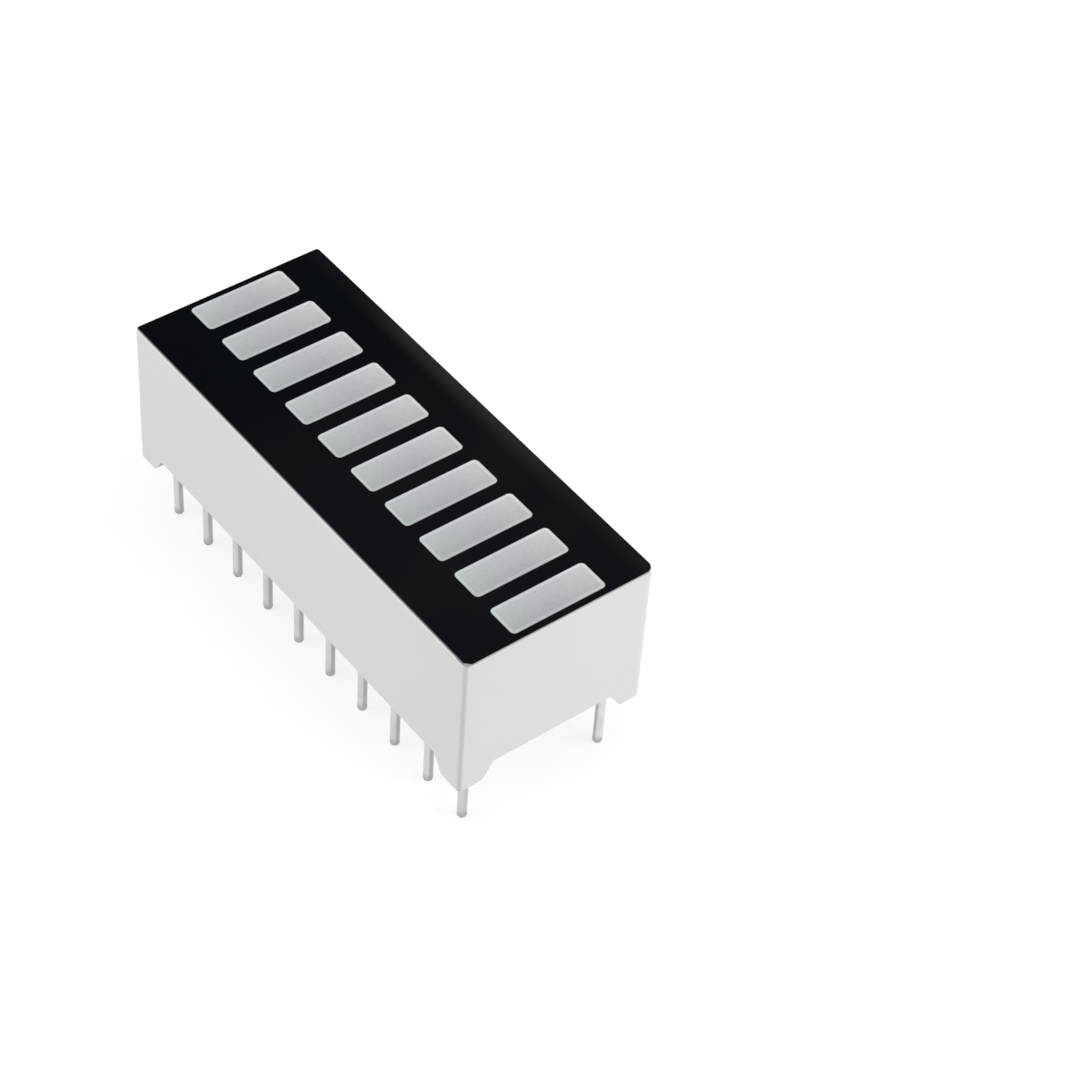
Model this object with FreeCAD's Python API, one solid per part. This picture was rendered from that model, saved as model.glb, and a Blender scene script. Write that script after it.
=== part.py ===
import FreeCAD, Part
import os

# A light-bar display for a circuit board: a white moulded housing with ten cast light bars in its
# black front, a small board with one chip under each bar, and two rows of round pins.
# X runs along the row of bars, Y across it, Z up. Z = 0 is the seating plane, under the feet,
# and the origin is the middle of the pin pattern. All sizes are in millimetres.

V = FreeCAD.Vector
UP = V(0, 0, 1)

# Pin pattern and pins
BAR_COUNT = 10
PITCH = 2.54
ROW_SPACING = 7.62
PIN_CORE_DIAMETER = 0.44
TIN_COAT = 0.01
PIN_REACH = 3.60
PIN_TIP_ROUND = 0.16
COAT_RUN_OUT = 0.05
PIN_HEAD_DIAMETER = 0.80
PIN_HEAD_HEIGHT = 0.25

# Body, whose corner at +X +Y is rounder than the other three
STACKING_GAP = 0.10
ROW_TO_SIDE = 1.24
BODY_HEIGHT = 8.00
WALL = 0.60
CORNER_RADIUS = 0.20
ROUNDER_CORNER_RADIUS = 0.43
RIM_ROUND = 0.05

# Feet: how long each is along a side at its underside, and how far its end leans out on the way up
FOOT_HEIGHT = 0.90
FOOT_LENGTH = 1.27
FOOT_LEAN = 0.55
FOOT_ROUND = 0.35
FOOT_ROOT_ROUND = 0.20

# Black front face, which has one corner cut off flat, and its windows
FACE_THICKNESS = 0.05
FACE_FLAT_CUT = 0.33
WINDOW_WIDTH = 1.72
WINDOW_LENGTH = 5.00
WINDOW_RADIUS = 0.24
WINDOW_SHIFT = 0.18

# Light wells, and the channels over the pin heads
WELL_DEPTH = 4.40
WELL_FLOOR_WIDTH = 1.15
WELL_FLOOR_LENGTH = 3.00
WELL_FLOOR_RADIUS = 0.40
CHANNEL_WIDTH = 1.25
CHANNEL_DEPTH = 3.30

# Board and its copper, which lies flush with the board's coating
BOARD_THICKNESS = 1.00
BOARD_CLEARANCE = 0.05
POCKET_RADIUS = 0.20
HOLE_CLEARANCE = 0.05
COPPER_THICKNESS = 0.035
RING_DIAMETER = 1.00
TRACK_WIDTH = 0.30
CHIP_PAD_SIDE = 0.90
WIRE_PAD_LENGTH = 0.60
PAD_GAP = 0.15

# Chip and its wire
CHIP_SIDE = 0.32
CHIP_HEIGHT = 0.22
WIRE_DIAMETER = 0.05
WIRE_RISE = 0.24
BALL_DIAMETER = 0.11
BALL_HEIGHT = 0.04

# Solder and resin
SOLDER_DIAMETER = 0.90
SOLDER_NECK = 0.06
SOLDER_HEIGHT = 0.45
FILL_RECESS = 0.25
FILL_CREEP = 0.12
CREEP_LIP = 0.02

# Sizes that follow from the ones above
BODY_LENGTH = BAR_COUNT * PITCH - STACKING_GAP
BODY_WIDTH = ROW_SPACING + 2 * ROW_TO_SIDE
BODY_CORNER_RADII = [ROUNDER_CORNER_RADIUS] + [CORNER_RADIUS] * 3
POCKET_LENGTH = BODY_LENGTH - 2 * WALL
POCKET_WIDTH = BODY_WIDTH - 2 * WALL
PIN_CORE_RADIUS = PIN_CORE_DIAMETER / 2
PIN_RADIUS = PIN_CORE_RADIUS + TIN_COAT
HOLE_RADIUS = PIN_CORE_RADIUS + HOLE_CLEARANCE

# Levels, from the front face down
FRONT = BODY_HEIGHT
DECK = FRONT - FACE_THICKNESS
BOARD_TOP = DECK - WELL_DEPTH
BOARD_UNDERSIDE = BOARD_TOP - BOARD_THICKNESS
FILL_UNDERSIDE = FOOT_HEIGHT + FILL_RECESS

# How far a cutting shape runs past the face that it cuts
OVERRUN = 1.00

# How far the middle of a quarter round stands from each of its two sides, as a share of its radius
ROUND_MIDDLE = 1 - 0.5 ** 0.5


def bar_x(index):
    """Where a bar, its chip and its two pins stand along the body."""
    return (index - (BAR_COUNT - 1) / 2) * PITCH


def start_of(edge):
    """The point that an edge starts from."""
    return edge.valueAt(edge.FirstParameter)


def end_of(edge):
    """The point that an edge runs to."""
    return edge.valueAt(edge.LastParameter)


def rounded_outline(length, width, radii, x, y, z):
    """A level rectangle about the point x, y with round corners, whose radii go round from +X +Y."""
    rounds = []
    corners = ((1, 1, 0), (-1, 1, 90), (-1, -1, 180), (1, -1, 270))
    for radius, (side_x, side_y, start) in zip(radii, corners):
        centre = V(x + side_x * (length / 2 - radius), y + side_y * (width / 2 - radius), z)
        rounds.append(Part.makeCircle(radius, centre, UP, start, start + 90))
    edges = []
    for corner, following in zip(rounds, rounds[1:] + rounds[:1]):
        edges.append(corner)
        edges.append(Part.makeLine(end_of(corner), start_of(following)))
    return Part.Wire(edges)


def rounded_block(length, width, radius, low, high, x=0.0, y=0.0):
    """An upright block with round corners between two levels."""
    outline = rounded_outline(length, width, [radius] * 4, x, y, low)
    return Part.Face(outline).extrude(V(0, 0, high - low))


def plain_block(x_low, x_high, y_low, y_high, low, high):
    """A block with sharp corners between two places along each axis."""
    return Part.makeBox(x_high - x_low, y_high - y_low, high - low, V(x_low, y_low, low))


def turned(edges):
    """A solid turned about the Z axis from edges that close on themselves in the XZ plane."""
    return Part.Face(Part.Wire(edges)).revolve(V(0, 0, 0), UP, 360)


def line(start, end):
    """A straight edge in the XZ plane, from (radius, height) to (radius, height)."""
    return Part.makeLine(V(start[0], 0, start[1]), V(end[0], 0, end[1]))


def arc(start, through, end):
    """A round edge in the XZ plane through three points."""
    points = [V(point[0], 0, point[1]) for point in (start, through, end)]
    return Part.Arc(*points).toShape()


def at_every_pin(shape):
    """Copies of a shape made on the Z axis, one at each pin: the near row, then the far row back."""
    near = [(bar_x(index), -ROW_SPACING / 2) for index in range(BAR_COUNT)]
    far = [(bar_x(index), ROW_SPACING / 2) for index in reversed(range(BAR_COUNT))]
    return [shape.translated(V(x, y, 0)) for x, y in near + far]


def pin():
    """A round pin with a nail head on the board, a tinned end below the seat and a rounded tip."""
    tip = -PIN_REACH
    tip_flat = PIN_RADIUS - PIN_TIP_ROUND
    tip_side = tip + PIN_TIP_ROUND
    bend = PIN_TIP_ROUND * ROUND_MIDDLE
    head_radius = PIN_HEAD_DIAMETER / 2
    head_top = BOARD_TOP + PIN_HEAD_HEIGHT
    return turned([
        line((0, tip), (tip_flat, tip)),
        arc((tip_flat, tip), (PIN_RADIUS - bend, tip + bend), (PIN_RADIUS, tip_side)),
        line((PIN_RADIUS, tip_side), (PIN_RADIUS, -COAT_RUN_OUT)),
        line((PIN_RADIUS, -COAT_RUN_OUT), (PIN_CORE_RADIUS, 0)),
        line((PIN_CORE_RADIUS, 0), (PIN_CORE_RADIUS, BOARD_TOP)),
        line((PIN_CORE_RADIUS, BOARD_TOP), (head_radius, BOARD_TOP)),
        line((head_radius, BOARD_TOP), (head_radius, head_top)),
        line((head_radius, head_top), (0, head_top)),
        line((0, head_top), (0, tip)),
    ])


def solder_joint():
    """Solder that fills the hole round a pin and stands as a hollow-sided cone under the board."""
    foot = SOLDER_DIAMETER / 2
    neck = PIN_CORE_RADIUS + SOLDER_NECK
    bottom = BOARD_UNDERSIDE - SOLDER_HEIGHT
    waist = (neck + (foot - neck) / 4, BOARD_UNDERSIDE - SOLDER_HEIGHT / 3)
    return turned([
        line((PIN_CORE_RADIUS, BOARD_TOP), (PIN_CORE_RADIUS, bottom)),
        line((PIN_CORE_RADIUS, bottom), (neck, bottom)),
        arc((neck, bottom), waist, (foot, BOARD_UNDERSIDE)),
        line((foot, BOARD_UNDERSIDE), (HOLE_RADIUS, BOARD_UNDERSIDE)),
        line((HOLE_RADIUS, BOARD_UNDERSIDE), (HOLE_RADIUS, BOARD_TOP)),
        line((HOLE_RADIUS, BOARD_TOP), (PIN_CORE_RADIUS, BOARD_TOP)),
    ])


def light_well(index):
    """The tapered space of one bar, from its window in the deck down to the board."""
    x = bar_x(index)
    mouth = rounded_outline(WINDOW_WIDTH, WINDOW_LENGTH, [WINDOW_RADIUS] * 4, x, WINDOW_SHIFT, DECK)
    floor = rounded_outline(
        WELL_FLOOR_WIDTH, WELL_FLOOR_LENGTH, [WELL_FLOOR_RADIUS] * 4, x, WINDOW_SHIFT, BOARD_TOP)
    return Part.makeLoft([floor, mouth], True, True)


def window(index, low, high):
    """The straight space of one bar's window between two levels."""
    x = bar_x(index)
    return rounded_block(WINDOW_WIDTH, WINDOW_LENGTH, WINDOW_RADIUS, low, high, x, WINDOW_SHIFT)


def corner_round(before, corner, after, radius):
    """The round that takes a sharp corner off between two points: its start, middle and end."""
    back = (before - corner).normalize()
    onward = (after - corner).normalize()
    half_sine = (back - onward).Length / 2
    half_cosine = (back + onward).Length / 2
    run = radius * half_cosine / half_sine
    middle = corner + (back + onward).normalize() * (radius / half_sine - radius)
    return corner + back * run, middle, corner + onward * run


def foot_end(side, half_gap):
    """The edges of one foot's end in the XZ plane, from below its round toe up to its root."""
    outside = V(side * (half_gap + OVERRUN), 0, 0)
    toe = V(side * half_gap, 0, 0)
    root = V(side * (half_gap - FOOT_LEAN), 0, FOOT_HEIGHT)
    toe_round = corner_round(outside, toe, root, FOOT_ROUND)
    root_round = corner_round(toe, root, V(0, 0, FOOT_HEIGHT), FOOT_ROOT_ROUND)
    return [
        Part.makeLine(toe_round[0] - V(0, 0, OVERRUN), toe_round[0]),
        Part.Arc(*toe_round).toShape(),
        Part.makeLine(toe_round[2], root_round[0]),
        Part.Arc(*root_round).toShape(),
    ]


def foot_gap(side_length, depth):
    """A bar along Y, through the whole depth, that takes out what lies between two feet of one side."""
    half_gap = side_length / 2 - FOOT_LENGTH
    right = foot_end(1, half_gap)
    left = foot_end(-1, half_gap)
    top = Part.makeLine(end_of(right[-1]), end_of(left[-1]))
    bottom = Part.makeLine(start_of(left[0]), start_of(right[0]))
    gap = Part.Face(Part.Wire(right + [top] + left[::-1] + [bottom])).extrude(V(0, depth + 2 * OVERRUN, 0))
    return gap.translated(V(0, -depth / 2 - OVERRUN, 0))


def foot_gaps():
    """The two bars that are cut across the housing's lower edge to leave the four corner feet."""
    across = foot_gap(BODY_LENGTH, BODY_WIDTH)
    along = foot_gap(BODY_WIDTH, BODY_LENGTH).rotated(V(0, 0, 0), UP, 90)
    return [across, along]


def pin_channels():
    """The two channels beside the light wells that clear the pin heads and even out the walls."""
    middle = (POCKET_WIDTH - CHANNEL_WIDTH) / 2
    top = BOARD_TOP + CHANNEL_DEPTH
    return [
        rounded_block(POCKET_LENGTH, CHANNEL_WIDTH, POCKET_RADIUS, BOARD_UNDERSIDE, top, y=side * middle)
        for side in (1, -1)
    ]


def outer_rim(block):
    """The edges round the top of a block."""
    top = block.BoundBox.ZMax
    return [edge for edge in block.Edges if edge.BoundBox.ZMin > top - 1e-6]


def housing():
    """The white moulding: walls, deck, ten light wells, board pocket, pin channels and corner feet."""
    outline = rounded_outline(BODY_LENGTH, BODY_WIDTH, BODY_CORNER_RADII, 0, 0, 0)
    block = Part.Face(outline).extrude(V(0, 0, DECK))
    block = block.makeFillet(RIM_ROUND, outer_rim(block))
    pocket = rounded_block(POCKET_LENGTH, POCKET_WIDTH, POCKET_RADIUS, -OVERRUN, BOARD_TOP)
    wells = [light_well(index) for index in range(BAR_COUNT)]
    return block.cut([pocket] + pin_channels() + foot_gaps() + wells)


def flat_cut(x, y):
    """An upright wedge that takes the black front's corner at x, y off flat, towards +X and -Y."""
    low = DECK - OVERRUN
    high = FRONT + OVERRUN
    along_side = V(x - FACE_FLAT_CUT - OVERRUN, y - OVERRUN, low)
    outside = V(x + OVERRUN, y - OVERRUN, low)
    along_end = V(x + OVERRUN, y + FACE_FLAT_CUT + OVERRUN, low)
    corner = Part.Face(Part.makePolygon([along_side, outside, along_end, along_side]))
    return corner.extrude(V(0, 0, high - low))


def face_film():
    """The thin black front, which ends where the rim's rounding starts."""
    length = BODY_LENGTH - 2 * RIM_ROUND
    width = BODY_WIDTH - 2 * RIM_ROUND
    radii = [radius - RIM_ROUND for radius in BODY_CORNER_RADII]
    sheet = Part.Face(rounded_outline(length, width, radii, 0, 0, DECK)).extrude(V(0, 0, FACE_THICKNESS))
    windows = [window(index, DECK - OVERRUN, FRONT + OVERRUN) for index in range(BAR_COUNT)]
    return sheet.cut(windows + [flat_cut(length / 2, -width / 2)])


def chip(index):
    """The square light-emitting chip at the middle of a well's floor."""
    half = CHIP_SIDE / 2
    x = bar_x(index)
    return plain_block(
        x - half, x + half, WINDOW_SHIFT - half, WINDOW_SHIFT + half, BOARD_TOP, BOARD_TOP + CHIP_HEIGHT)


def bond_wire(index):
    """A fine wire in one arc, from a ball on the chip to its pad on the board."""
    x = bar_x(index)
    chip_top = BOARD_TOP + CHIP_HEIGHT
    ball = Part.makeCylinder(BALL_DIAMETER / 2, BALL_HEIGHT, V(x, WINDOW_SHIFT, chip_top))
    pad_middle = WINDOW_SHIFT - CHIP_PAD_SIDE / 2 - PAD_GAP - WIRE_PAD_LENGTH / 2
    start = V(x, WINDOW_SHIFT, chip_top + BALL_HEIGHT / 2)
    peak = V(x, (WINDOW_SHIFT + pad_middle) / 2, chip_top + WIRE_RISE)
    end = V(x, pad_middle, BOARD_TOP - WIRE_DIAMETER)
    path = Part.Arc(start, peak, end).toShape()
    ring = Part.Wire(Part.makeCircle(WIRE_DIAMETER / 2, start, path.tangentAt(path.FirstParameter)))
    strand = Part.Wire(path).makePipeShell([ring], True, True)
    below_board = plain_block(
        x - OVERRUN, x + OVERRUN, pad_middle - OVERRUN, WINDOW_SHIFT + OVERRUN,
        BOARD_TOP - OVERRUN, BOARD_TOP)
    return strand.fuse(ball).cut([below_board, chip(index)]).removeSplitter()


def light_bar(index):
    """The milky resin cast into one well, flush with the front, round its chip and wire."""
    bar = light_well(index).fuse(window(index, DECK, FRONT))
    return bar.cut([chip(index), bond_wire(index)])


def track(x, pad_low, pad_high, row):
    """One piece of copper: a pad under a well, a ring round a pin in one row, and the track between."""
    low = BOARD_TOP - COPPER_THICKNESS
    half_pad = CHIP_PAD_SIDE / 2
    half_track = TRACK_WIDTH / 2
    run_low, run_high = sorted((row, (pad_low + pad_high) / 2))
    pad = plain_block(x - half_pad, x + half_pad, pad_low, pad_high, low, BOARD_TOP)
    run = plain_block(x - half_track, x + half_track, run_low, run_high, low, BOARD_TOP)
    ring = Part.makeCylinder(RING_DIAMETER / 2, COPPER_THICKNESS, V(x, row, low))
    hole = Part.makeCylinder(HOLE_RADIUS, BOARD_THICKNESS, V(x, row, low - COPPER_THICKNESS))
    return pad.fuse([run, ring]).removeSplitter().cut(hole)


def copper():
    """Two pieces to each bar: the far pin's ends in the chip's pad, the near pin's in the wire's."""
    row = ROW_SPACING / 2
    chip_pad_far = WINDOW_SHIFT + CHIP_PAD_SIDE / 2
    chip_pad_near = WINDOW_SHIFT - CHIP_PAD_SIDE / 2
    wire_pad_far = chip_pad_near - PAD_GAP
    wire_pad_near = wire_pad_far - WIRE_PAD_LENGTH
    pieces = []
    for index in range(BAR_COUNT):
        pieces.append(track(bar_x(index), chip_pad_near, chip_pad_far, row))
        pieces.append(track(bar_x(index), wire_pad_near, wire_pad_far, -row))
    return Part.makeCompound(pieces)


def circuit_board(tracks):
    """The board, seated against the wells from below, with a hole for each pin."""
    board = rounded_block(
        POCKET_LENGTH - 2 * BOARD_CLEARANCE, POCKET_WIDTH - 2 * BOARD_CLEARANCE,
        POCKET_RADIUS - BOARD_CLEARANCE, BOARD_UNDERSIDE, BOARD_TOP)
    hole_start = V(0, 0, BOARD_UNDERSIDE - OVERRUN)
    hole = Part.makeCylinder(HOLE_RADIUS, BOARD_THICKNESS + 2 * OVERRUN, hole_start)
    return board.cut(at_every_pin(hole) + [tracks])


def resin_collar():
    """A pin and the hollow-sided collar of resin that creeps along it, up to above the resin's level."""
    foot = PIN_CORE_RADIUS + FILL_CREEP
    bend = FILL_CREEP * ROUND_MIDDLE
    low = FILL_UNDERSIDE - FILL_CREEP
    high = FILL_UNDERSIDE + OVERRUN
    middle = (PIN_CORE_RADIUS + bend, FILL_UNDERSIDE - bend)
    return turned([
        line((0, low), (PIN_CORE_RADIUS, low)),
        arc((PIN_CORE_RADIUS, low), middle, (foot, FILL_UNDERSIDE)),
        line((foot, FILL_UNDERSIDE), (foot, high)),
        line((foot, high), (0, high)),
        line((0, high), (0, low)),
    ])


def resin_dish():
    """The shallow dish that the resin leaves open, with hollow sides where it creeps up the walls."""
    length = POCKET_LENGTH - 2 * CREEP_LIP
    width = POCKET_WIDTH - 2 * CREEP_LIP
    low = FILL_UNDERSIDE - FILL_CREEP - OVERRUN
    dish = rounded_block(length, width, POCKET_RADIUS - CREEP_LIP, low, FILL_UNDERSIDE)
    return dish.makeFillet(FILL_CREEP, outer_rim(dish)).cut(at_every_pin(resin_collar()))


def back_fill(joints):
    """The resin poured in behind the board, round the pins and their solder."""
    low = FILL_UNDERSIDE - FILL_CREEP
    fill = rounded_block(POCKET_LENGTH, POCKET_WIDTH, POCKET_RADIUS, low, BOARD_UNDERSIDE)
    shank = Part.makeCylinder(PIN_CORE_RADIUS, BOARD_UNDERSIDE, V(0, 0, 0))
    return fill.cut([resin_dish()] + at_every_pin(shank) + joints)


def write(name, shape):
    """One file to a node, under the node's own name."""
    shape.exportStep("parts/" + name + ".step")


def main():
    os.makedirs("parts", exist_ok=True)
    write("housing", housing())
    write("face_film", face_film())
    for index in range(BAR_COUNT):
        number = "%02d" % (index + 1)
        write("light_bar_" + number, light_bar(index))
        write("led_chip_" + number, chip(index))
        write("bond_wire_" + number, bond_wire(index))
    tracks = copper()
    joints = at_every_pin(solder_joint())
    write("copper_tracks", tracks)
    write("circuit_board", circuit_board(tracks))
    write("solder_joints", Part.makeCompound(joints))
    write("back_fill", back_fill(joints))
    for number, shape in enumerate(at_every_pin(pin()), start=1):
        write("pin_%02d" % number, shape)


main()
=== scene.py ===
import bmesh
import bpy
import math
from mathutils import Matrix, Vector


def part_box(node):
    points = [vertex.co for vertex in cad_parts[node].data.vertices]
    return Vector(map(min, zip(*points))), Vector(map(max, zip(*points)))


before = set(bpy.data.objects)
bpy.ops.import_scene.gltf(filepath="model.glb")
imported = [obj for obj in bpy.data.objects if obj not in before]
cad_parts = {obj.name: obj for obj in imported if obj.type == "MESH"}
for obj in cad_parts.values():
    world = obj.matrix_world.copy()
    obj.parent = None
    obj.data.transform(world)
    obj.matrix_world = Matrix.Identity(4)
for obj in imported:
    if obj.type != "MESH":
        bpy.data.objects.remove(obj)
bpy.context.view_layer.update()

# The light-bar display of part.py in its finishes, on a pale floor. Metres, in the CAD model's
# frame: X along the row of bars, Y across it, Z up, with Z = 0 under the feet. Near is towards
# -Y and +X, and far is towards +Y and -X. Colours are linear, and a texture's scale is how many
# of its features go to a metre.

MM = 0.001
WHITE = (1, 1, 1, 1)

# What the frame says of the display's size
bars = sorted(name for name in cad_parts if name.startswith("light_bar_"))
pins = sorted(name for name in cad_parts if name.startswith("pin_"))
chips = sorted(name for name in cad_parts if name.startswith("led_chip_"))
wires = sorted(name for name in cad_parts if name.startswith("bond_wire_"))
film_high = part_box("face_film")[1]
first_bar_low, first_bar_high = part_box(bars[0])
second_bar_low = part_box(bars[1])[0]
pin_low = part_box(pins[0])[0]
end_pin_start = max(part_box(name)[0].x for name in pins)

BAR_PITCH = second_bar_low.x - first_bar_low.x
BAR_WIDTH = first_bar_high.x - first_bar_low.x
BAR_LENGTH = first_bar_high.y - first_bar_low.y
BAR_MIDDLE_X = (first_bar_high.x + first_bar_low.x) / 2
BAR_MIDDLE_Y = (first_bar_high.y + first_bar_low.y) / 2
FACE_MIDDLE = Vector((0, 0, film_high.z))
FLOOR_LEVEL = pin_low.z


# Node wiring

def add(tree, kind, inputs=None, **settings):
    """One new node. Settings are its own properties, inputs are values or sockets to join to it."""
    made = tree.nodes.new(kind)
    for name, value in settings.items():
        setattr(made, name, value)
    for name, value in (inputs or {}).items():
        if isinstance(value, bpy.types.NodeSocket):
            tree.links.new(value, made.inputs[name])
        else:
            made.inputs[name].default_value = value
    return made


def join(tree, value, socket):
    """Joins a value to a socket of the shader or of a group's output."""
    tree.links.new(value, socket)


def calculate(tree, operation, *values):
    """The result of one sum on numbers or sockets."""
    return add(tree, "ShaderNodeMath", dict(enumerate(values)), operation=operation).outputs[0]


def blend(tree, amount, first, second):
    """A colour between two others, by an amount that is held between 0 and 1."""
    factor_socket, first_colour_socket, second_colour_socket, colour_result = 0, 6, 7, 2
    inputs = {factor_socket: amount, first_colour_socket: first, second_colour_socket: second}
    return add(tree, "ShaderNodeMix", inputs, data_type="RGBA").outputs[colour_result]


def rescale(tree, value, low, high, new_low=0.0, new_high=1.0):
    """A value moved smoothly from one range to another, and held at its ends."""
    inputs = {
        "Value": value, "From Min": low, "From Max": high, "To Min": new_low, "To Max": new_high}
    made = add(tree, "ShaderNodeMapRange", inputs, interpolation_type="SMOOTHSTEP")
    return made.outputs["Result"]


def place(tree):
    """Where a point lies on its piece, in metres in the CAD model's frame."""
    return add(tree, "ShaderNodeTexCoord").outputs["Object"]


def stretched_place(tree, scale):
    """The same place with its axes scaled, so that a texture on it is drawn out along one."""
    inputs = {"Vector": place(tree), "Scale": scale}
    return add(tree, "ShaderNodeMapping", inputs).outputs["Vector"]


def parts_of(tree, vector):
    """The X, Y and Z sockets of a place or a direction."""
    return add(tree, "ShaderNodeSeparateXYZ", {"Vector": vector}).outputs


def facing(tree):
    """Which way the surface faces, as X, Y and Z sockets."""
    return parts_of(tree, add(tree, "ShaderNodeNewGeometry").outputs["Normal"])


def noise(tree, scale, detail=2.0, roughness=0.5, vector=None):
    """Soft random values round 0.5."""
    inputs = {
        "Vector": vector or place(tree), "Scale": scale, "Detail": detail, "Roughness": roughness}
    return add(tree, "ShaderNodeTexNoise", inputs).outputs["Fac"]


def lighten(tree, colour, factor):
    """A colour times a number."""
    inputs = {0: colour, "Scale": factor}
    return add(tree, "ShaderNodeVectorMath", inputs, operation="SCALE").outputs[0]


def bump(tree, shader, height, depth):
    """Relief on a finish, as deep in metres as a height of 1 stands for."""
    inputs = {"Height": height, "Distance": depth, "Strength": 1.0}
    join(tree, add(tree, "ShaderNodeBump", inputs).outputs["Normal"], shader["Normal"])


def group(name, numbers, results):
    """An empty node group with named numbers in and named values out."""
    tree = bpy.data.node_groups.new(name, "ShaderNodeTree")
    for title, value in numbers.items():
        socket = tree.interface.new_socket(title, in_out="INPUT", socket_type="NodeSocketFloat")
        socket.default_value = value
    for title in results:
        tree.interface.new_socket(title, in_out="OUTPUT", socket_type="NodeSocketFloat")
    return tree, add(tree, "NodeGroupInput").outputs, add(tree, "NodeGroupOutput").inputs


def use(tree, effect, **numbers):
    """One shared effect placed in a material, with its own values."""
    made = add(tree, "ShaderNodeGroup", node_tree=effect)
    for name, value in numbers.items():
        made.inputs[name.replace("_", " ")].default_value = value
    return made.outputs


def finish(name, **constants):
    """A new material, its tree and its shader, with the values that are the same all over it."""
    material = bpy.data.materials.new(name)
    material.use_nodes = True
    tree = material.node_tree
    tree.nodes.clear()
    inputs = {socket.replace("_", " "): value for socket, value in constants.items()}
    shader = add(tree, "ShaderNodeBsdfPrincipled", inputs)
    add(tree, "ShaderNodeOutputMaterial", {"Surface": shader.outputs["BSDF"]})
    return material, tree, shader.inputs


# Effects

def make_moulded_skin():
    """The skin of a moulded or cast piece: a fine grain, a slow sink, and a slow change of tone."""
    numbers = {"Grain Scale": 9000.0, "Sink Scale": 260.0, "Sink Share": 0.5}
    tree, given, result = group("moulded skin", numbers, ["Height", "Tone"])
    grain = noise(tree, given["Grain Scale"], detail=3.0, roughness=0.6)
    sink = noise(tree, given["Sink Scale"], detail=1.0)
    share = calculate(tree, "MULTIPLY", sink, given["Sink Share"])
    join(tree, calculate(tree, "ADD", grain, share), result["Height"])
    join(tree, rescale(tree, sink, 0.35, 0.65), result["Tone"])
    return tree


def make_fine_dust():
    """Sparse specks, each a small part of a millimetre across, in patches."""
    patch_scale, patch_edge = 700.0, 0.62
    tree, given, result = group("fine dust", {"Speck Scale": 2600.0, "Speck Size": 0.16}, ["Mask"])
    inputs = {"Vector": place(tree), "Scale": given["Speck Scale"]}
    cells = add(tree, "ShaderNodeTexVoronoi", inputs)
    speck = calculate(tree, "LESS_THAN", cells.outputs["Distance"], given["Speck Size"])
    patch = calculate(tree, "GREATER_THAN", noise(tree, patch_scale, detail=1.0), patch_edge)
    join(tree, calculate(tree, "MULTIPLY", speck, patch), result["Mask"])
    return tree


def make_bar_place():
    """Where a point lies in its own light bar: across it and along it from -1 to 1, and a line
    close inside its rim."""
    brightest = 0.45
    tree, given, result = group("bar place", {"Rim Width": 0.20 * MM}, ["Across", "Along", "Rim"])
    axes = parts_of(tree, place(tree))
    from_first = calculate(tree, "SUBTRACT", axes["X"], BAR_MIDDLE_X)
    across = calculate(tree, "WRAP", from_first, BAR_PITCH / 2, -BAR_PITCH / 2)
    along = calculate(tree, "SUBTRACT", axes["Y"], BAR_MIDDLE_Y)
    join(tree, calculate(tree, "DIVIDE", across, BAR_WIDTH / 2), result["Across"])
    join(tree, calculate(tree, "DIVIDE", along, BAR_LENGTH / 2), result["Along"])
    to_side = calculate(tree, "SUBTRACT", BAR_WIDTH / 2, calculate(tree, "ABSOLUTE", across))
    to_end = calculate(tree, "SUBTRACT", BAR_LENGTH / 2, calculate(tree, "ABSOLUTE", along))
    to_rim = calculate(tree, "MINIMUM", to_side, to_end)
    share = calculate(tree, "DIVIDE", to_rim, given["Rim Width"])
    rise = rescale(tree, share, 0.0, brightest)
    fall = rescale(tree, share, brightest, 1.0, 1.0, 0.0)
    join(tree, calculate(tree, "MULTIPLY", rise, fall), result["Rim"])
    return tree


moulded_skin = make_moulded_skin()
fine_dust = make_fine_dust()
bar_place = make_bar_place()


# Finishes

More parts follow.
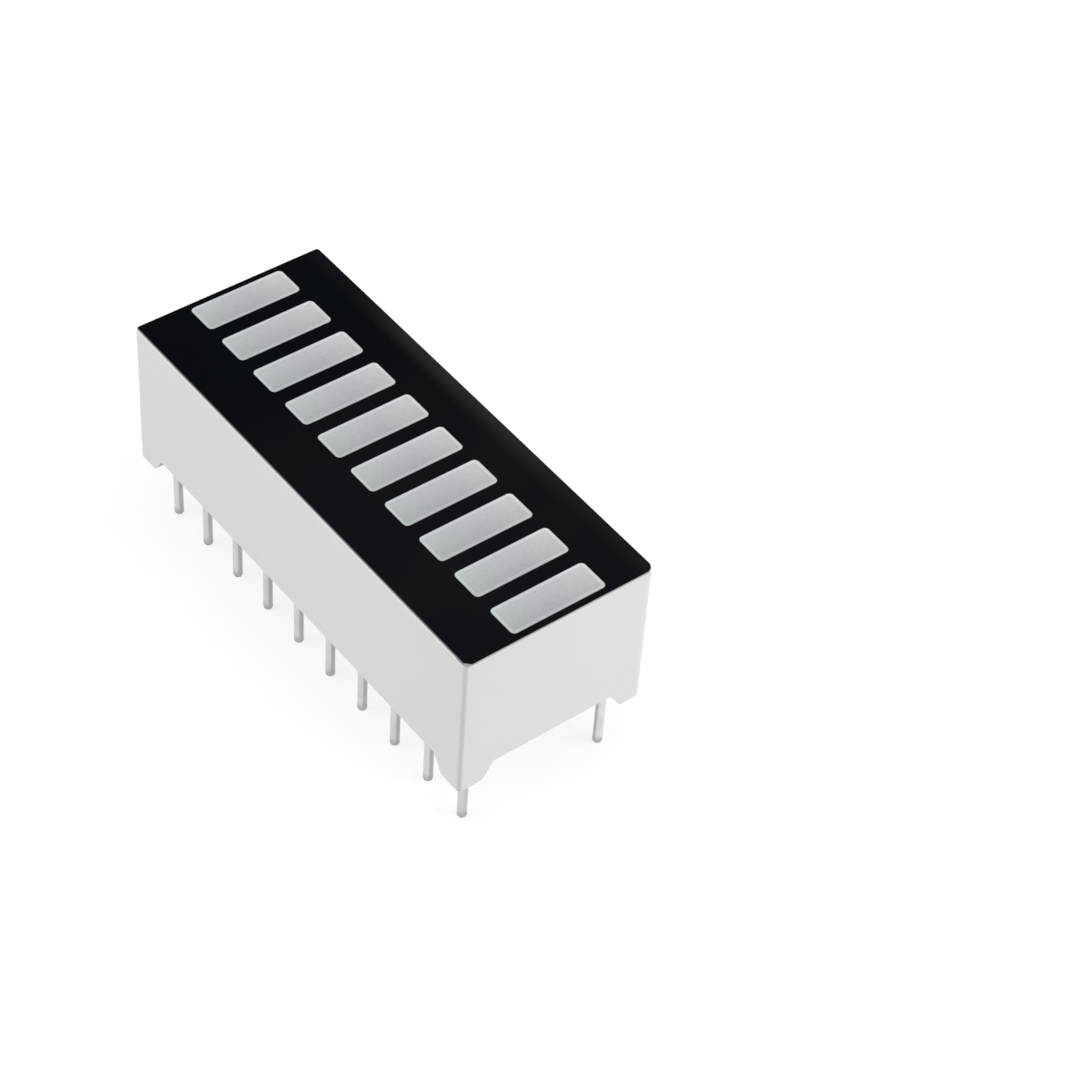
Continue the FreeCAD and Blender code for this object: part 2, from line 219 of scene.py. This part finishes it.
def white_plastic():
    """Moulded white plastic, low in gloss. The front's ink laps over its top rim at both ends."""
    cool_white, warm_white = (0.855, 0.85, 0.865, 1), (0.86, 0.86, 0.85, 1)
    corner_shade_white, round_shade_grey = (0.70, 0.70, 0.705, 1), (0.55, 0.55, 0.56, 1)
    painted_rim_highlight, cut_corner_shade_grey = (0.96, 0.96, 0.96, 1), (0.40, 0.40, 0.405, 1)
    thick_ink, thin_ink = (0.006, 0.007, 0.009, 1), (0.42, 0.42, 0.43, 1)
    dust_brown = (0.35, 0.34, 0.32, 1)
    dust_share, corner_shade_share, round_shade_share = 0.12, 0.24, 0.36
    corner_reach = (8.0 * MM, 18.0 * MM)
    film_end = (film_high.x - 0.02 * MM, film_high.x + 0.01 * MM)
    flat_cut = (16.9 * MM, 17.1 * MM)

    material, tree, shader = finish("white moulded plastic", IOR=1.5)
    skin = use(tree, moulded_skin, Grain_Scale=11000.0, Sink_Scale=170.0, Sink_Share=0.8)
    white = blend(tree, skin["Tone"], cool_white, warm_white)
    dust = use(tree, fine_dust, Speck_Scale=2400.0, Speck_Size=0.10)["Mask"]
    dusted = blend(tree, calculate(tree, "MULTIPLY", dust, dust_share), white, dust_brown)

    # Painted shade: darker towards the near corner, and on its vertical round and the opposite
    # corner's
    point = parts_of(tree, place(tree))
    normal = facing(tree)
    nearness = calculate(tree, "SUBTRACT", point["X"], point["Y"])
    at_corner = rescale(tree, nearness, *corner_reach, 0.0, corner_shade_share)
    corner_shaded = blend(tree, at_corner, dusted, corner_shade_white)
    towards_near_side = calculate(tree, "MULTIPLY", normal["Y"], -1.0)
    on_round = calculate(tree, "MULTIPLY", normal["X"], towards_near_side)
    round_shaded = blend(tree, rescale(tree, on_round, 0.05, 0.45, 0.0, round_shade_share), corner_shaded, round_shade_grey)

    # The top rim, with a painted highlight along the sides, thick ink at the far end and thin at
    # the near end
    at_end = rescale(tree, calculate(tree, "ABSOLUTE", point["X"]), *film_end)
    ink = blend(tree, rescale(tree, point["X"], -MM, MM), thick_ink, thin_ink)
    rim = blend(tree, at_end, painted_rim_highlight, ink)
    rimmed = blend(tree, rescale(tree, normal["Z"], 0.1, 0.5), round_shaded, rim)

    # Painted shade: the bare deck where the front's corner is cut off flat is darkened to grey
    past_cut = rescale(tree, nearness, *flat_cut)
    cut_corner_shade = calculate(tree, "MULTIPLY", past_cut, rescale(tree, normal["Z"], 0.6, 0.9))
    join(tree, blend(tree, cut_corner_shade, rimmed, cut_corner_shade_grey), shader["Base Color"])
    join(tree, rescale(tree, skin["Height"], 0.3, 1.2, 0.38, 0.55), shader["Roughness"])
    bump(tree, shader, skin["Height"], 0.006 * MM)
    return material


def black_film():
    """The front's black ink: deeper and bluer at the far end, and thin at the near side's edge."""
    deep_blue, deep_grey = (0.0, 0.0011, 0.0024, 1), (0.0036, 0.0040, 0.0062, 1)
    soft_blue, soft_grey = (0.0003, 0.0017, 0.0030, 1), (0.0056, 0.0060, 0.0084, 1)
    painted_sheen_grey, dust_grey = (0.022, 0.022, 0.024, 1), (0.05, 0.05, 0.05, 1)
    thin_ink = (0.30, 0.30, 0.31, 1)
    dust_share = 0.10
    thin_width = 0.07 * MM
    blue_to_grey = (-8.0 * MM, 4.0 * MM)
    sheen_start = 3.9 * MM
    sheen_rise, sheen_at_far_end = (-9.5 * MM, -4.5 * MM), 0.15
    sheen_fall, sheen_at_near_end = (2.0 * MM, 8.0 * MM), 0.35

    material, tree, shader = finish("black front ink", IOR=1.45, Specular_IOR_Level=0.02)
    skin = use(tree, moulded_skin, Grain_Scale=14000.0, Sink_Scale=220.0, Sink_Share=0.6)
    point = parts_of(tree, place(tree))
    greyness = rescale(tree, point["X"], *blue_to_grey)
    deep = blend(tree, greyness, deep_blue, deep_grey)
    soft = blend(tree, greyness, soft_blue, soft_grey)
    black = blend(tree, skin["Tone"], deep, soft)

    # Painted sheen: a pale reflection painted along the far side's edge, weaker at both ends
    at_far_side = rescale(tree, point["Y"], sheen_start, film_high.y)
    rise = rescale(tree, point["X"], *sheen_rise, sheen_at_far_end, 1.0)
    fall = rescale(tree, point["X"], *sheen_fall, 1.0, sheen_at_near_end)
    sheen = calculate(tree, "MULTIPLY", at_far_side, calculate(tree, "MULTIPLY", rise, fall))
    sheened = blend(tree, sheen, black, painted_sheen_grey)
    dust = use(tree, fine_dust, Speck_Scale=3200.0, Speck_Size=0.12)["Mask"]
    dusted = blend(tree, calculate(tree, "MULTIPLY", dust, dust_share), sheened, dust_grey)

    from_near_side = calculate(tree, "ADD", point["Y"], film_high.y)
    thinness = rescale(tree, from_near_side, 0.0, thin_width, 1.0, 0.0)
    join(tree, blend(tree, thinness, dusted, thin_ink), shader["Base Color"])
    join(tree, rescale(tree, skin["Height"], 0.3, 1.1, 0.34, 0.50), shader["Roughness"])
    bump(tree, shader, skin["Height"], 0.004 * MM)
    return material


def milky_resin():
    """Milky bar resin: cool at the near end, and paler at the far end, far long edge and rim."""
    near_tone, middle_tone = (0.486, 0.520, 0.537, 1), (0.489, 0.507, 0.538, 1)
    far_tone, cloud_tone = (0.591, 0.595, 0.622, 1), (0.62, 0.62, 0.63, 1)
    cloud_share, slope_share, rim_share = 0.12, -0.14, 0.24
    streak_scale, streak_stretch = 6000.0, (1.0, 0.55, 1.0)
    streak_range = (0.97, 1.03)

    material, tree, shader = finish("milky bar resin", IOR=1.52, Specular_IOR_Level=0.3)
    skin = use(tree, moulded_skin, Grain_Scale=7000.0, Sink_Scale=420.0, Sink_Share=0.7)
    spot = use(tree, bar_place)
    towards_middle = rescale(tree, spot["Along"], -0.95, 0.1)
    towards_far = rescale(tree, spot["Along"], 0.0, 1.0)
    near_half = blend(tree, towards_middle, near_tone, middle_tone)
    tone = blend(tree, towards_far, near_half, far_tone)
    clouded = blend(tree, calculate(tree, "MULTIPLY", skin["Tone"], cloud_share), tone, cloud_tone)

    streaks = noise(tree, streak_scale, vector=stretched_place(tree, streak_stretch))
    streak = rescale(tree, streaks, 0.3, 0.7, *streak_range)
    slope = calculate(tree, "MULTIPLY", spot["Across"], slope_share)
    rim = calculate(tree, "MULTIPLY", spot["Rim"], rim_share)
    lightness = calculate(tree, "ADD", streak, calculate(tree, "ADD", slope, rim))
    join(tree, lighten(tree, clouded, lightness), shader["Base Color"])
    join(tree, rescale(tree, skin["Height"], 0.3, 1.1, 0.32, 0.46), shader["Roughness"])
    bump(tree, shader, skin["Height"], 0.004 * MM)
    return material


def tinned_metal():
    """Tinned pins, drawn lengthwise. Painted reflection: dark in a line towards other pins. Painted
    light: a lighter far row. Darker at the tip.
    """
    near_dull, lit_far_dull = (0.585, 0.585, 0.575, 1), (0.68, 0.68, 0.67, 1)
    near_bright, lit_far_bright = (0.65, 0.65, 0.64, 1), (0.75, 0.75, 0.74, 1)
    painted_reflection_grey, tip_grey = (0.30, 0.30, 0.29, 1), (0.38, 0.375, 0.36, 1)
    painted_reflection_share, end_pin_share = 0.66, 0.40
    draw_scale, draw_stretch = 9000.0, (1.0, 1.0, 0.06)
    cloud_scale = 900.0
    tip_reach = (FLOOR_LEVEL + 0.05 * MM, FLOOR_LEVEL + 0.7 * MM)

    material, tree, shader = finish("tinned pin", Metallic=1.0)
    draw_marks = noise(tree, draw_scale, detail=3.0, vector=stretched_place(tree, draw_stretch))
    cloud = noise(tree, cloud_scale)
    point = parts_of(tree, place(tree))
    normal = facing(tree)

    # Painted reflection: dark where the surface faces the next pin of its row, standing for that
    # pin's reflection. Past the near row's end pins it is weaker.
    outwards = calculate(tree, "MULTIPLY", point["X"], calculate(tree, "SIGN", normal["X"]))
    has_next = calculate(tree, "LESS_THAN", outwards, end_pin_start)
    in_near_row = calculate(tree, "LESS_THAN", point["Y"], 0.0)
    at_row_end = calculate(tree, "MULTIPLY", in_near_row, end_pin_share)
    reach = calculate(tree, "MAXIMUM", has_next, at_row_end)
    along_row = rescale(tree, calculate(tree, "ABSOLUTE", normal["X"]), 0.78, 0.99)
    to_next = calculate(tree, "MULTIPLY", along_row, reach)

    # Painted reflection: also dark where it faces the other row. The side is -1 for the near row,
    # which blends as 0, or 1.
    row_side = calculate(tree, "SIGN", point["Y"])
    away_from_row = calculate(tree, "MULTIPLY", row_side, -1.0)
    inwards = calculate(tree, "MULTIPLY", normal["Y"], away_from_row)
    to_other_row = rescale(tree, inwards, 0.82, 0.99)
    line = calculate(tree, "MAXIMUM", to_next, to_other_row)

    # Painted light: the far row's tin is lighter than the near row's
    dull = blend(tree, row_side, near_dull, lit_far_dull)
    bright = blend(tree, row_side, near_bright, lit_far_bright)
    tin = blend(tree, rescale(tree, cloud, 0.35, 0.65), dull, bright)
    reflection_painted = blend(tree, calculate(tree, "MULTIPLY", line, painted_reflection_share), tin, painted_reflection_grey)
    at_tip = rescale(tree, point["Z"], *tip_reach, 1.0, 0.0)
    join(tree, blend(tree, at_tip, reflection_painted, tip_grey), shader["Base Color"])
    join(tree, rescale(tree, draw_marks, 0.3, 0.7, 0.24, 0.38), shader["Roughness"])
    bump(tree, shader, draw_marks, 0.003 * MM)
    return material


def glass_laminate():
    """Circuit board: woven glass under a green coating."""
    dark_green, light_green = (0.018, 0.085, 0.032, 1), (0.035, 0.140, 0.055, 1)
    coat_green, coat_share = (0.020, 0.100, 0.050, 1), 0.3
    thread_scale = 1125.0

    material, tree, shader = finish("coated laminate", IOR=1.5)
    threads = {"Vector": place(tree), "Scale": thread_scale}
    warp = add(tree, "ShaderNodeTexWave", threads, bands_direction="X")
    weft = add(tree, "ShaderNodeTexWave", threads, bands_direction="Y")
    weave = calculate(tree, "MULTIPLY", warp.outputs["Fac"], weft.outputs["Fac"])
    skin = use(tree, moulded_skin, Grain_Scale=8000.0, Sink_Scale=300.0)
    green = blend(tree, weave, dark_green, light_green)
    coated = blend(tree, calculate(tree, "MULTIPLY", skin["Tone"], coat_share), green, coat_green)
    join(tree, coated, shader["Base Color"])
    join(tree, rescale(tree, weave, 0.0, 1.0, 0.30, 0.42), shader["Roughness"])
    bump(tree, shader, calculate(tree, "ADD", weave, skin["Height"]), 0.004 * MM)
    return material


def poured_resin():
    """The cast resin at the back: cloudy, glossy, with small bubbles just under its skin."""
    deep_cloud, pale_cloud = (0.60, 0.60, 0.55, 1), (0.68, 0.68, 0.64, 1)
    bubble_white, bubble_share = (0.80, 0.80, 0.78, 1), 0.35

    material, tree, shader = finish("poured resin", IOR=1.52)
    skin = use(tree, moulded_skin, Grain_Scale=3000.0, Sink_Scale=240.0, Sink_Share=1.5)
    bubbles = use(tree, fine_dust, Speck_Scale=1900.0, Speck_Size=0.22)["Mask"]
    cloud = blend(tree, skin["Tone"], deep_cloud, pale_cloud)
    bubbled = blend(tree, calculate(tree, "MULTIPLY", bubbles, bubble_share), cloud, bubble_white)
    join(tree, bubbled, shader["Base Color"])
    join(tree, rescale(tree, skin["Height"], 0.3, 1.8, 0.14, 0.30), shader["Roughness"])
    bump(tree, shader, calculate(tree, "SUBTRACT", skin["Height"], bubbles), 0.006 * MM)
    return material


def metal(name, dull, bright, roughness):
    """A plain metal whose tone and gloss drift a little. Roughness is its lowest and highest."""
    material, tree, shader = finish(name, Metallic=1.0)
    skin = use(tree, moulded_skin, Grain_Scale=12000.0, Sink_Scale=1500.0)
    join(tree, blend(tree, skin["Tone"], dull, bright), shader["Base Color"])
    join(tree, rescale(tree, skin["Height"], 0.3, 1.0, *roughness), shader["Roughness"])
    bump(tree, shader, skin["Height"], 0.002 * MM)
    return material


def diced_crystal():
    """The chips: a pale crystal with sawn sides."""
    dark_crystal, pale_crystal = (0.42, 0.40, 0.30, 1), (0.56, 0.54, 0.44, 1)

    material, tree, shader = finish("diced crystal", IOR=1.8)
    skin = use(tree, moulded_skin, Grain_Scale=22000.0, Sink_Scale=3000.0)
    join(tree, blend(tree, skin["Tone"], dark_crystal, pale_crystal), shader["Base Color"])
    join(tree, rescale(tree, skin["Height"], 0.3, 1.0, 0.2, 0.5), shader["Roughness"])
    bump(tree, shader, skin["Height"], 0.003 * MM)
    return material


def dress(material, *names):
    """Gives CAD nodes their finish."""
    for name in names:
        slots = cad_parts[name].data.materials
        slots.clear()
        slots.append(material)


dress(white_plastic(), "housing")
dress(black_film(), "face_film")
dress(milky_resin(), *bars)
dress(tinned_metal(), *pins)
dress(glass_laminate(), "circuit_board")
dress(poured_resin(), "back_fill")

dress(diced_crystal(), *chips)

copper = metal(
    "bare copper",
    dull=(0.62, 0.30, 0.20, 1), bright=(0.78, 0.42, 0.30, 1), roughness=(0.25, 0.40))
solder = metal(
    "bright solder",
    dull=(0.55, 0.56, 0.57, 1), bright=(0.68, 0.69, 0.70, 1), roughness=(0.18, 0.32))
gold = metal(
    "drawn gold",
    dull=(0.80, 0.56, 0.20, 1), bright=(0.92, 0.68, 0.30, 1), roughness=(0.20, 0.30))
dress(copper, "copper_tracks")
dress(solder, "solder_joints")
dress(gold, *wires)


# Floor and light

def seen_directly(tree):
    """1 for what the camera sees, straight or by a mirror or through glass, and 0 for light that
    falls."""
    path = add(tree, "ShaderNodeLightPath").outputs
    mirrored = calculate(tree, "MAXIMUM", path["Is Glossy Ray"], path["Is Transmission Ray"])
    return calculate(tree, "MAXIMUM", path["Is Camera Ray"], mirrored)


def floor_finish(seen_tone, lift):
    """A matt pale grey, lifted to white where the camera sees it unshaded."""
    pale_grey = (0.80, 0.80, 0.80, 1)
    seen_grey = (seen_tone, seen_tone, seen_tone, 1)
    material = bpy.data.materials.new("pale floor")
    material.use_nodes = True
    tree = material.node_tree
    tree.nodes.clear()
    seen = seen_directly(tree)
    matt = add(tree, "ShaderNodeBsdfDiffuse", {"Color": blend(tree, seen, pale_grey, seen_grey)})
    strength = calculate(tree, "MULTIPLY", seen, lift)
    glow = add(tree, "ShaderNodeEmission", {"Color": WHITE, "Strength": strength})
    both = add(tree, "ShaderNodeAddShader", {0: matt.outputs[0], 1: glow.outputs[0]})
    add(tree, "ShaderNodeOutputMaterial", {"Surface": both.outputs[0]})
    return material


def make_floor(radius, material):
    """A round floor under the pins."""
    mesh = bpy.data.meshes.new("floor")
    shape = bmesh.new()
    bmesh.ops.create_circle(shape, cap_ends=True, segments=96, radius=radius)
    bmesh.ops.translate(shape, vec=(0, 0, FLOOR_LEVEL), verts=shape.verts)
    shape.to_mesh(mesh)
    shape.free()
    mesh.materials.append(material)
    floor = bpy.data.objects.new("floor", mesh)
    bpy.context.scene.collection.objects.link(floor)


def make_world(fill):
    """White where it is seen, and an even fill of the given strength for the light that falls."""
    world = bpy.data.worlds.new("studio")
    world.use_nodes = True
    tree = world.node_tree
    tree.nodes.clear()
    strength = rescale(tree, seen_directly(tree), 0.0, 1.0, fill, 1.0)
    background = add(tree, "ShaderNodeBackground", {"Color": WHITE, "Strength": strength})
    add(tree, "ShaderNodeOutputWorld", {"Surface": background.outputs[0]})
    bpy.context.scene.world = world


def direction(azimuth, elevation):
    """The way from the display to a lamp or the camera. Azimuth 0 is towards -Y, 90 towards +X."""
    turn = math.radians(azimuth)
    rise = math.radians(elevation)
    level = math.cos(rise)
    return Vector((math.sin(turn) * level, -math.cos(turn) * level, math.sin(rise)))


def soft_lamp(name, azimuth, elevation, distance, side, power):
    """A square soft lamp that faces the display."""
    data = bpy.data.lights.new(name, "AREA")
    data.shape = "SQUARE"
    data.size = side
    data.energy = power
    lamp = bpy.data.objects.new(name, data)
    towards = direction(azimuth, elevation)
    lamp.location = towards * distance
    lamp.rotation_euler = towards.to_track_quat("Z", "Y").to_euler()
    bpy.context.scene.collection.objects.link(lamp)


make_floor(radius=3.0, material=floor_finish(seen_tone=0.30, lift=0.78))
make_world(fill=0.40)
soft_lamp("left lamp", azimuth=-28, elevation=28, distance=0.40, side=0.30, power=0.48)
soft_lamp("right lamp", azimuth=124, elevation=28, distance=0.40, side=0.30, power=0.68)
soft_lamp("top lamp", azimuth=40, elevation=84, distance=0.45, side=0.40, power=0.46)


# Camera, where the photograph was taken from

PICTURE_SIDE = 1080
SENSOR = 36.0
LENS = 102.75
CAMERA_AZIMUTH = 49.291
CAMERA_ELEVATION = 45.473
CAMERA_ROLL = 4.531
CAMERA_DEPTH = 135.701 * MM

# Where the middle of the front face lies in the picture, from its left and its top
FACE_IN_PICTURE = (386.88, 443.71)


def make_camera():
    """A camera turned and placed so that the front face's middle lands where the picture has it."""
    back = direction(CAMERA_AZIMUTH, CAMERA_ELEVATION)
    level_right = Vector((0, 0, 1)).cross(back).normalized()
    level_up = back.cross(level_right)
    roll = math.radians(CAMERA_ROLL)
    right = level_right * math.cos(roll) + level_up * math.sin(roll)
    up = level_up * math.cos(roll) - level_right * math.sin(roll)
    focal = LENS / SENSOR * PICTURE_SIDE
    rightwards = (FACE_IN_PICTURE[0] - PICTURE_SIDE / 2) / focal * CAMERA_DEPTH
    downwards = (FACE_IN_PICTURE[1] - PICTURE_SIDE / 2) / focal * CAMERA_DEPTH
    spot = FACE_MIDDLE + back * CAMERA_DEPTH - right * rightwards + up * downwards
    turned = Matrix((right, up, back)).transposed().to_4x4()
    data = bpy.data.cameras.new("camera")
    data.lens = LENS
    data.sensor_width = SENSOR
    data.clip_start = 0.01
    data.clip_end = 10.0
    camera = bpy.data.objects.new("camera", data)
    camera.matrix_world = Matrix.Translation(spot) @ turned
    bpy.context.scene.collection.objects.link(camera)
    bpy.context.scene.camera = camera


make_camera()
bpy.context.scene.view_settings.view_transform = "Standard"
